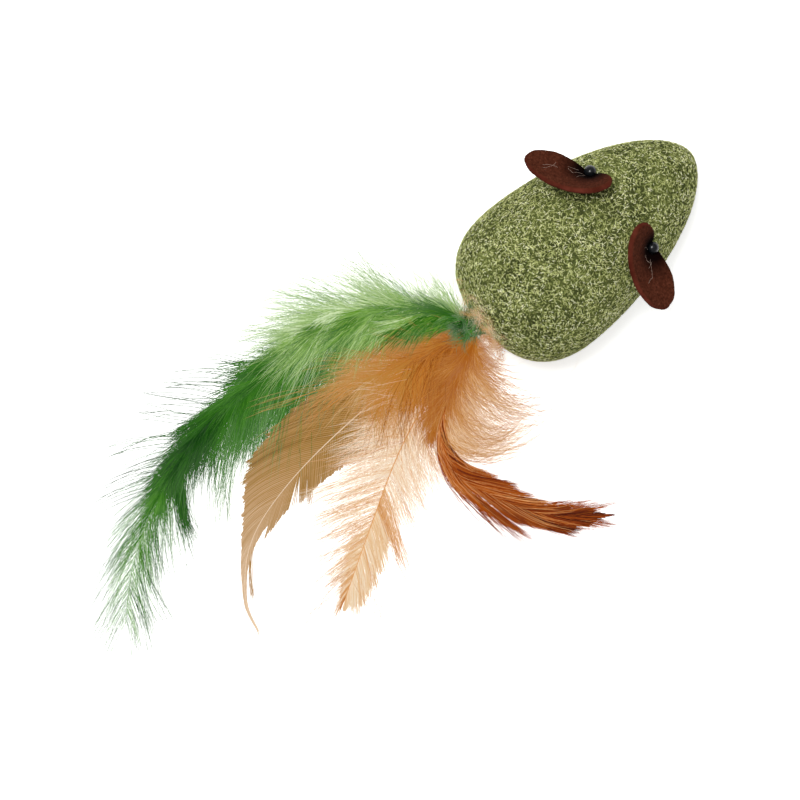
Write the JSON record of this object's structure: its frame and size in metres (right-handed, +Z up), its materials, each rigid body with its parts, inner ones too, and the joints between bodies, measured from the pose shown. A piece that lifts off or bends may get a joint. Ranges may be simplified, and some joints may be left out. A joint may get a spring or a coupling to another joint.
{
  "type": "catnip mouse",
  "caption": "Cat toy mouse: a pressed catnip egg with a flat belly, cupped felt ears, bead eyes and a tail of loose feathers.",
  "frame": {"origin": "centre of the flat belly, on the surface that the mouse rests on", "axes": "+X to the nose, +Y to the mouse's left, +Z up"},
  "size_m": [0.1682, 0.0851, 0.0341],
  "materials": {
    "catnip": "pressed herb, matte",
    "felt": "felt, matte",
    "bead": "polished",
    "glue": "set hot-melt glue",
    "quill": "satin horn",
    "green_down": "dyed feather",
    "tan_vane": "dyed feather",
    "peach_vane": "dyed feather",
    "orange_down": "dyed feather",
    "pale_green_down": "dyed feather",
    "rust_vane": "dyed feather, slight sheen"
  },
  "bodies": {
    "mouse": {"catnip_body": "catnip", "eye_left": "bead", "eye_glue_left": "glue", "eye_right": "bead", "eye_glue_right": "glue", "tail_glue": "glue", "green_long_feather_quill": "quill", "tan_feather_quill": "quill", "peach_feather_quill": "quill", "orange_plume_quill": "quill", "green_short_plume_quill": "quill", "rust_hackle_quill": "quill"},
    "green_long_feather": {"green_long_feather": "green_down"},
    "tan_feather": {"tan_feather": "tan_vane"},
    "peach_feather": {"peach_feather": "peach_vane"},
    "orange_plume": {"orange_plume": "orange_down"},
    "green_short_plume": {"green_short_plume": "pale_green_down"},
    "rust_hackle": {"rust_hackle": "rust_vane"},
    "ear_left": {"ear_left": "felt"},
    "ear_right": {"ear_right": "felt"}
  },
  "joints": [
    {"name": "green_long_sweep", "type": "hinge", "parent": "mouse", "child": "green_long_feather", "pos_m": [-0.02345, 0.0009, 0.01125], "axis": [0, 0, 1], "range_deg": [-15, 15], "stiffness_Nm_per_rad": 0.001},
    {"name": "tan_sweep", "type": "hinge", "parent": "mouse", "child": "tan_feather", "pos_m": [-0.02345, -0.0009, 0.01275], "axis": [0, 0, 1], "range_deg": [-15, 15], "stiffness_Nm_per_rad": 0.001},
    {"name": "peach_sweep", "type": "hinge", "parent": "mouse", "child": "peach_feather", "pos_m": [-0.02345, 0.0009, 0.01425], "axis": [0, 0, 1], "range_deg": [-15, 15], "stiffness_Nm_per_rad": 0.001},
    {"name": "orange_sweep", "type": "hinge", "parent": "mouse", "child": "orange_plume", "pos_m": [-0.02345, -0.0009, 0.01575], "axis": [0, 0, 1], "range_deg": [-15, 15], "stiffness_Nm_per_rad": 0.001},
    {"name": "green_short_sweep", "type": "hinge", "parent": "mouse", "child": "green_short_plume", "pos_m": [-0.02345, 0.0009, 0.01725], "axis": [0, 0, 1], "range_deg": [-15, 15], "stiffness_Nm_per_rad": 0.001},
    {"name": "rust_sweep", "type": "hinge", "parent": "mouse", "child": "rust_hackle", "pos_m": [-0.02345, -0.0009, 0.01875], "axis": [0, 0, 1], "range_deg": [-15, 15], "stiffness_Nm_per_rad": 0.001},
    {"name": "ear_left_turn", "type": "hinge", "parent": "mouse", "child": "ear_left", "pos_m": [0.0168, 0.00937, 0.02569], "axis": [0.3283, 0.5549, 0.7644], "range_deg": [-20, 20]},
    {"name": "ear_right_turn", "type": "hinge", "parent": "mouse", "child": "ear_right", "pos_m": [0.0168, -0.00937, 0.02569], "axis": [0.3283, -0.5549, 0.7644], "range_deg": [-20, 20]}
  ]
}
